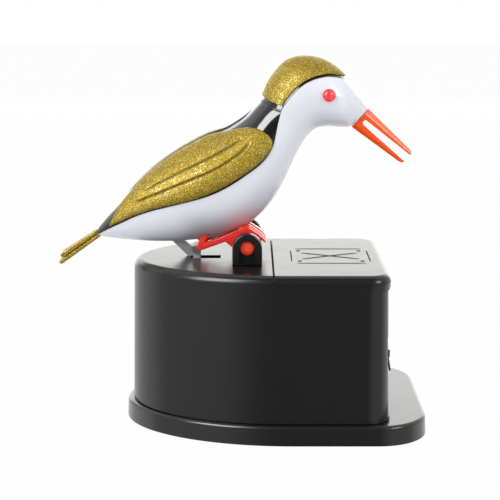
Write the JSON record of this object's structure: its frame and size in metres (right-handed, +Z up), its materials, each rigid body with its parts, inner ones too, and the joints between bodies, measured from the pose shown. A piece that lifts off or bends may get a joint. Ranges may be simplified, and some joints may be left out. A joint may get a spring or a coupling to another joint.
{
  "type": "toothpick dispenser",
  "caption": "Toothpick dispenser: a forked-beak bird on a perch tips over a D-shaped box and takes one pick from a sliding shuttle.",
  "frame": {"origin": "on the table, under the middle of the whole object's outline", "axes": "+X forwards, from the tail towards the outlet; +Z up; +Y to the bird's left"},
  "size_m": [0.1406, 0.085, 0.1408],
  "materials": {
    "black_plastic": "satin moulded black plastic",
    "gloss_black": "high gloss black plastic",
    "dark_plastic": "matte dark plastic",
    "white_plastic": "satin white plastic",
    "grey_plastic": "light grey plastic",
    "gold_glitter": "gold glitter under a clear coat",
    "red_plastic": "translucent red plastic",
    "orange_plastic": "translucent orange plastic",
    "steel": "plain steel",
    "rubber": "matte black rubber"
  },
  "bodies": {
    "box": {"base_plate": "black_plastic", "rubber_foot_1": "rubber", "rubber_foot_2": "rubber", "rubber_foot_3": "rubber", "rubber_foot_4": "rubber", "base_screw_1": "steel", "base_screw_2": "steel", "base_screw_3": "steel", "base_screw_4": "steel", "box_shell": "black_plastic", "pivot_ear_near": "black_plastic", "pivot_ear_far": "black_plastic", "ear_screw_near": "steel", "ear_screw_far": "steel", "hopper_chute": "dark_plastic", "crank_bracket": "dark_plastic", "bracket_screw_1": "steel", "bracket_screw_2": "steel", "return_spring": "steel"},
    "lid": {"refill_lid": "black_plastic"},
    "bird": {"body_shell": "white_plastic", "back_shell": "gloss_black", "wing_near": "gold_glitter", "wing_far": "gold_glitter", "crown_cap": "gold_glitter", "tail_upper": "gold_glitter", "tail_lower": "gold_glitter", "eye_near": "red_plastic", "eye_far": "red_plastic", "beak": "orange_plastic", "leg_near": "red_plastic", "leg_far": "red_plastic", "perch_axle": "red_plastic", "belly_arm": "grey_plastic", "upper_link_pin": "steel"},
    "link": {"link_bar": "grey_plastic"},
    "crank": {"bell_crank": "dark_plastic", "crank_shaft": "steel", "shaft_clip_near": "steel", "shaft_clip_far": "steel", "drive_pin": "steel", "lower_link_pin": "steel"},
    "shuttle": {"feed_shuttle": "gloss_black"}
  },
  "joints": [
    {"name": "bird_tilt", "type": "hinge", "parent": "box", "child": "bird", "pos_m": [0.00255, 0, 0.07], "axis": [0, 1, 0], "range_deg": [0, 62], "stiffness_Nm_per_rad": 0.03, "springref_deg": -34.38},
    {"name": "link_swing", "type": "hinge", "parent": "bird", "child": "link", "pos_m": [-0.01695, 0, 0.0668], "axis": [0, 1, 0], "range_deg": [-62, 0]},
    {"name": "crank_turn", "type": "hinge", "parent": "box", "child": "crank", "pos_m": [0.00255, 0, 0.024], "axis": [0, 1, 0], "range_deg": [0, 62], "deforming": ["return_spring"]},
    {"name": "shuttle_feed", "type": "slide", "parent": "box", "child": "shuttle", "axis": [1, 0, 0], "range_m": [0, 0.01051]},
    {"name": "lid_slide", "type": "slide", "parent": "box", "child": "lid", "axis": [0, 1, 0], "range_m": [0, 0.042]}
  ],
  "couplings": [
    {"joint": "link_swing", "follows": "bird_tilt", "ratio": -1},
    {"joint": "crank_turn", "follows": "bird_tilt", "ratio": 1},
    {"joint": "shuttle_feed", "follows": "bird_tilt", "m_per_rad": 0.00971}
  ]
}
